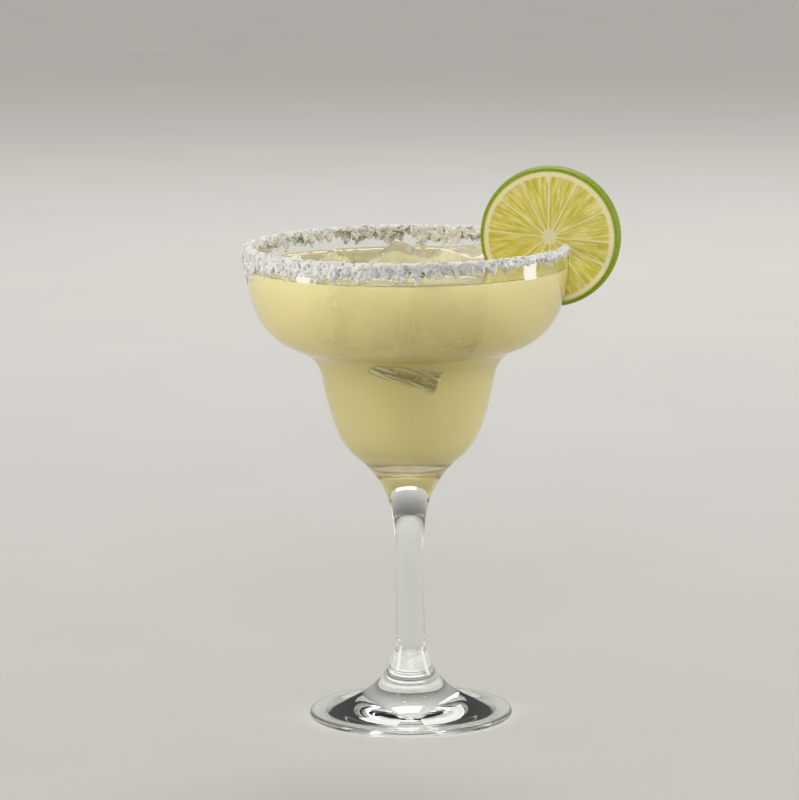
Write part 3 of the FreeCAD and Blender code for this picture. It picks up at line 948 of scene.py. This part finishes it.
# %% [markdown]
# ## Salt on the rim
# The rim was wetted with lime juice and dipped in coarse salt.  Near the lip the wet grains have run
# together into a crust, and round its edge single grains stick out or hang in short drips.  So the
# Geometry Nodes tree makes both: one set of points becomes a volume and its skin is the crust, and a
# second set carries separate grains.  Both are scattered on a band that follows the wall, and only
# where the band's cover attribute says that there is salt.  The reach of the coat is uneven, and the
# few numbers below give it round the rim: a hand dips one side of a glass deeper than the other.

# %% Reach of the salt
# degrees round the rim, anticlockwise from +X where the lime hangs, and millimetres of salt there
SALT_OUTSIDE = {-180: 11.5, -168: 9.0, -158: 6.5, -140: 6.5, -119: 6.0, -95: 5.0, -75: 4.8, -62: 4.0,
                -45: 3.2, -20: 2.6, 0: 2.5, 30: 4.0, 60: 5.0, 150: 5.0, 165: 9.0, 180: 11.5}
SALT_INSIDE = {-180: 5.5, -140: 4.0, -60: 3.6, 0: 3.0, 61: 3.0, 74: 5.6, 86: 5.6, 89: 1.2, 92: 4.4,
               110: 4.4, 114: 1.6, 118: 1.6, 121: 5.0, 131: 5.0, 134: 2.2, 140: 2.2, 145: 4.2, 165: 4.0,
               180: 5.5}
LIME_GAP = (-3.6, 5.0)
BAND_COLUMNS = 720
BAND_STEP = 0.5
BAND_OUTSIDE = 14.0
BAND_INSIDE = 8.0
BAND_LOWEST = 150.0
DRIP_WIDTH = 2.2
DRIP_SHARE = 0.9
RAGGED_EDGE = 1.2
GRAIN_EDGE = 0.7
LUMP_SIZE = 3.4
PILE_MIDDLE = 0.35
PILE_SWING = 0.6
PILE_LEAST = 0.1
PILE_MOST = 0.8
CLUMP = 0.9
CLUMP_DEGREES = 16.0
CLUMP_DEPTH = 4.0


def rim_section():
    """Points a fixed step apart along the wall: distance from the lip's top, radius, height."""
    over = OUTSIDE[::-1] + lip_outline() + INSIDE
    line = np.array([p for p in over if p[1] > BAND_LOWEST])
    length = np.concatenate([[0.0], np.cumsum(np.hypot(*np.diff(line, axis=0).T))])
    top = length[line[:, 1].argmax()]
    along = np.arange(-BAND_OUTSIDE, BAND_INSIDE + BAND_STEP, BAND_STEP)
    radius, height = (np.interp(along + top, length, column) for column in line.T)
    return along, radius, height


def around_rim(reach, azimuth):
    """Reach of the salt at any azimuth, straight between the chosen ones."""
    return np.interp(azimuth, list(reach.keys()), list(reach.values()))


def make_salt_band():
    """The strip of wall under the salt, with how fully each point is covered and how high it is piled."""
    along, radius, height = rim_section()
    azimuth = np.linspace(-180.0, 180.0, BAND_COLUMNS, endpoint=False)
    turn, step = np.meshgrid(np.radians(azimuth), np.arange(len(along)), indexing="ij")
    turn, step = turn.ravel(), step.ravel()
    points = np.stack([radius[step] * np.cos(turn), radius[step] * np.sin(turn), height[step]], axis=1)
    rows = len(along)
    faces = []
    for i in range(BAND_COLUMNS):
        j = (i + 1) % BAND_COLUMNS
        faces += [(i * rows + k, i * rows + k + 1, j * rows + k + 1, j * rows + k) for k in range(rows - 1)]
    mesh = bpy.data.meshes.new("salt_band")
    mesh.from_pydata(points * MM, [], faces)
    mesh.update()
    if mesh.polygons[2].normal.dot(Vector(mesh.polygons[2].center).to_2d().to_3d()) < 0:
        mesh.flip_normals()
    degrees = np.degrees(turn)
    out = along[step] < 0
    reach = np.where(out, around_rim(SALT_OUTSIDE, degrees), around_rim(SALT_INSIDE, degrees))
    rim_place = points[:, :2] / DRIP_WIDTH
    level = np.where(out, 3.0, 40.0)
    drips = np.array([noise.noise(Vector((x, y, z))) for (x, y), z in zip(rim_place, level)])
    fine = np.array([noise.noise(Vector((x * 3, y * 3, z + 9))) for (x, y), z in zip(rim_place, level)])
    ragged = reach * (1 + DRIP_SHARE * drips) + fine * RAGGED_EDGE
    cover = np.clip((ragged - np.abs(along[step])) / GRAIN_EDGE, 0, 1)
    in_lime = (degrees > LIME_GAP[0]) & (degrees < LIME_GAP[1])
    cover[in_lime] = 0.0
    lumps = np.array([noise.noise(Vector(p) / LUMP_SIZE) for p in points])
    # the far left of the rim carries one thick clump, a few millimetres below the lip
    clump_round = np.exp(-((np.abs(degrees) - 180.0) / CLUMP_DEGREES) ** 2)
    clump_down = np.exp(-((along[step] + CLUMP_DEPTH) / CLUMP_DEPTH) ** 2)
    pile = np.clip(PILE_MIDDLE + PILE_SWING * lumps, PILE_LEAST, PILE_MOST)
    pile = pile + CLUMP * (clump_round * clump_down)
    store(mesh, "cover", cover)
    store(mesh, "pile", pile * MM)
    return mesh


# %% Salt tree
def build_salt_tree():
    """A tree that piles a crust and loose grains on the covered part of a band."""
    tree, given = new_tree("stuck_grains", {"Band": "Geometry", "Crust Density": "Float",
                                            "Grain Density": "Float", "Smallest": "Float",
                                            "Largest": "Float", "Voxel": "Float", "Seed": "Int",
                                            "Finish": "Material"})
    number = {"data_type": "FLOAT"}
    cover = add(tree, "GeometryNodeInputNamedAttribute", number, {"Name": "cover"}).outputs[0]
    pile = add(tree, "GeometryNodeInputNamedAttribute", number, {"Name": "pile"}).outputs[0]

    def scatter(density, seed, lift):
        """Points on the covered part of the band, each lifted off the wall by a share of the pile."""
        covered = add(tree, "ShaderNodeMath", {"operation": "MULTIPLY"}, {0: density, 1: cover})
        points = add(tree, "GeometryNodeDistributePointsOnFaces",
                     inputs={"Mesh": given["Band"], "Density": covered.outputs[0], "Seed": seed})
        share = add(tree, "FunctionNodeRandomValue", number, {"Min": 0.0, "Max": lift, "Seed": 5})
        height = add(tree, "ShaderNodeMath", {"operation": "MULTIPLY"}, {0: share.outputs[1], 1: pile})
        offset = add(tree, "ShaderNodeVectorMath", {"operation": "SCALE"},
                     {"Vector": points.outputs["Normal"], "Scale": height.outputs[0]})
        lifted = add(tree, "GeometryNodeSetPosition",
                     inputs={"Geometry": points.outputs["Points"], "Offset": offset.outputs["Vector"]})
        return lifted.outputs["Geometry"]

    size = add(tree, "FunctionNodeRandomValue", number,
               {"Min": given["Smallest"], "Max": given["Largest"], "Seed": 11}).outputs[1]
    volume = add(tree, "GeometryNodePointsToVolume", {"resolution_mode": "VOXEL_SIZE"},
                 {"Points": scatter(given["Crust Density"], given["Seed"], 1.0),
                  "Voxel Size": given["Voxel"], "Radius": size})
    crust = add(tree, "GeometryNodeVolumeToMesh", {"resolution_mode": "GRID"},
                {"Volume": volume.outputs["Volume"], "Threshold": 0.1})
    grain = add(tree, "GeometryNodeMeshIcoSphere", inputs={"Radius": 1.0, "Subdivisions": 1})
    spin = add(tree, "FunctionNodeRandomValue", {"data_type": "FLOAT_VECTOR"},
               {"Min": (0.0, 0.0, 0.0), "Max": (math.tau, math.tau, math.tau), "Seed": 17})
    squash = add(tree, "FunctionNodeRandomValue", {"data_type": "FLOAT_VECTOR"},
                 {"Min": (0.7, 0.8, 0.8), "Max": (1.1, 1.2, 1.2), "Seed": 23})
    scale = add(tree, "ShaderNodeVectorMath", {"operation": "SCALE"},
                {"Vector": squash.outputs[0], "Scale": size})
    grains = add(tree, "GeometryNodeInstanceOnPoints",
                 inputs={"Points": scatter(given["Grain Density"], 8, 1.6),
                         "Instance": grain.outputs["Mesh"], "Rotation": spin.outputs[0],
                         "Scale": scale.outputs["Vector"]})
    both = add(tree, "GeometryNodeJoinGeometry")
    tree.links.new(crust.outputs["Mesh"], both.inputs["Geometry"])
    tree.links.new(grains.outputs["Instances"], both.inputs["Geometry"])
    finish_tree(tree, both.outputs["Geometry"], given["Finish"])
    return tree


# %% Salt material
def make_salt_material():
    """Coarse salt, damp: white because light scatters at its many faces, and a little see-through."""
    material, tree = new_material("coarse_salt_damp")
    place = add(tree, "ShaderNodeTexCoord").outputs["Object"]
    # damp patches about 3 mm across are clearer and glossier than dry ones
    damp = add(tree, "ShaderNodeTexNoise", inputs={"Vector": place, "Scale": 330.0, "Detail": 2.0})
    clear = add(tree, "ShaderNodeMapRange",
                inputs={"Value": damp.outputs["Fac"], "From Min": 0.4, "From Max": 0.7,
                        "To Min": 0.0, "To Max": 0.25})
    rough = add(tree, "ShaderNodeMapRange",
                inputs={"Value": damp.outputs["Fac"], "From Min": 0.4, "From Max": 0.7,
                        "To Min": 0.45, "To Max": 0.2})
    # crystal faces about 0.4 mm across
    crystal = add(tree, "ShaderNodeTexNoise", inputs={"Vector": place, "Scale": 2500.0, "Detail": 2.0})
    relief = add(tree, "ShaderNodeBump",
                 inputs={"Height": crystal.outputs["Fac"], "Strength": 0.2, "Distance": 0.2 * MM})
    salt = add(tree, "ShaderNodeBsdfPrincipled",
               inputs={"Base Color": linear("#ebe9e4"), "Roughness": rough.outputs["Result"], "IOR": 1.54,
                       "Transmission Weight": clear.outputs["Result"], "Normal": relief.outputs["Normal"],
                       "Subsurface Weight": 0.35, "Subsurface Radius": (1.0, 1.0, 1.0),
                       "Subsurface Scale": 1.5 * MM})
    finish_material(tree, salt.outputs["BSDF"])
    return material


# %% Salt
SALT_INPUTS = {"Crust Density": 6.0e6, "Grain Density": 0.9e6, "Smallest": 0.26 * MM,
               "Largest": 0.58 * MM, "Voxel": 0.42 * MM, "Seed": 3, "Finish": make_salt_material()}
salt = run_tree(build_salt_tree(), "rim_salt", make_salt_band(), SALT_INPUTS)
salt.data.polygons.foreach_set("use_smooth", [True] * len(salt.data.polygons))
print(f"salt: {triangles(salt.data)} triangles")
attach(salt, "root")

# %% [markdown]
# ## Light paths
# Light in a cloudy drink, with ice in it and glass round it, changes direction many times before it
# gets out.  The usual limits would stop it early and leave the drink grey, so they are raised here.

# %% Bounce limits
cycles = bpy.context.scene.cycles
cycles.max_bounces = 28
cycles.transmission_bounces = 20
cycles.volume_bounces = 12
cycles.transparent_max_bounces = 24
print(f"light may change direction {cycles.max_bounces} times")
